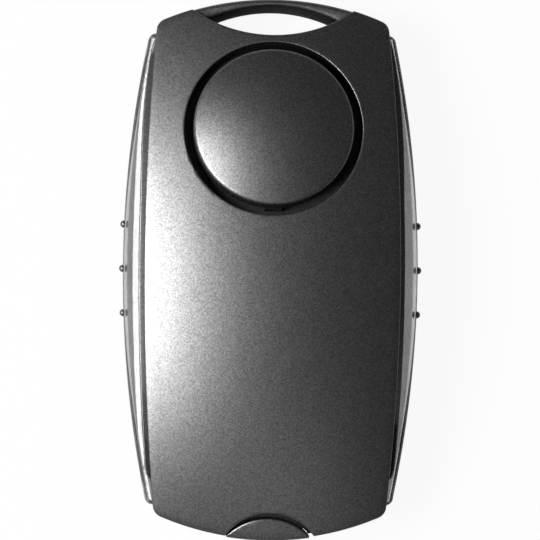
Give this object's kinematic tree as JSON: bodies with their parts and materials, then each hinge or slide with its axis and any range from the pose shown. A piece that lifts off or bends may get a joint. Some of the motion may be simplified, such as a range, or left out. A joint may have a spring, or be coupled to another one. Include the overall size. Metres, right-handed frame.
{
  "type": "personal safety alarm",
  "caption": "Hand-held safety alarm: arched case with scooped lanyard eyelet, domed siren push button in a ring recess, clear side windows and a pull-out button-cell drawer.",
  "frame": {"origin": "middle of the flat back, on the surface that the alarm lies on", "axes": "+X to the right seen from the front, +Y along the case towards the lanyard bar, +Z out of the front"},
  "size_m": [0.054, 0.096, 0.0218],
  "materials": {
    "case_paint": "satin dark grey metallic-flake paint",
    "clear_window": "clear, slightly smoky, polished",
    "black_plastic": "matt black moulding",
    "spring_steel": "drawn wire",
    "foam_rubber": "closed-cell foam",
    "siren_brass": "rolled sheet",
    "siren_ceramic": "fired, silvered face",
    "contact_brass": "plated pins",
    "board_laminate": "solder-mask green",
    "white_plastic": "moulded",
    "ferrite": "pressed ferrite",
    "copper_wire": "enamelled copper winding",
    "capacitor_sleeve": "shrink sleeve",
    "lamp_resin": "clear resin",
    "contact_steel": "nickel-plated strip",
    "lead_sleeve": "wire insulation",
    "cell_steel": "nickel-plated can",
    "screw_steel": "zinc plated"
  },
  "bodies": {
    "case": {"front_shell": "case_paint", "back_shell": "case_paint", "left_window": "clear_window", "right_window": "clear_window", "button_spring": "spring_steel", "button_well": "black_plastic", "sound_gasket": "foam_rubber", "siren_plate": "siren_brass", "siren_ceramic": "siren_ceramic", "siren_retainer": "black_plastic", "siren_contacts": "contact_brass", "circuit_board": "board_laminate", "switch_body": "black_plastic", "driver_chip": "black_plastic", "coil_core": "ferrite", "coil_winding": "copper_wire", "capacitor": "capacitor_sleeve", "left_lamp": "lamp_resin", "right_lamp": "lamp_resin", "contact_carrier": "black_plastic", "top_contacts": "contact_steel", "end_contact": "contact_steel", "battery_leads": "lead_sleeve", "case_screws": "screw_steel", "inner_screws": "screw_steel"},
    "button": {"siren_button": "case_paint"},
    "plunger": {"switch_plunger": "white_plastic"},
    "drawer": {"battery_drawer": "case_paint", "drawer_strips": "contact_steel", "button_cells": "cell_steel"}
  },
  "joints": [
    {"name": "button_press", "type": "slide", "parent": "case", "child": "button", "axis": [0, -0.1937, -0.9811], "range_m": [0, 0.0015], "stiffness_N_per_m": 800, "springref_m": -0.003, "deforming": ["button_spring"]},
    {"name": "switch_press", "type": "slide", "parent": "case", "child": "plunger", "axis": [0, -0.1937, -0.9811], "range_m": [0, 0.0015]},
    {"name": "drawer_slide", "type": "slide", "parent": "case", "child": "drawer", "axis": [0, -1, 0], "range_m": [0, 0.038]}
  ],
  "couplings": [
    {"joint": "switch_press", "follows": "button_press", "ratio": 1}
  ]
}
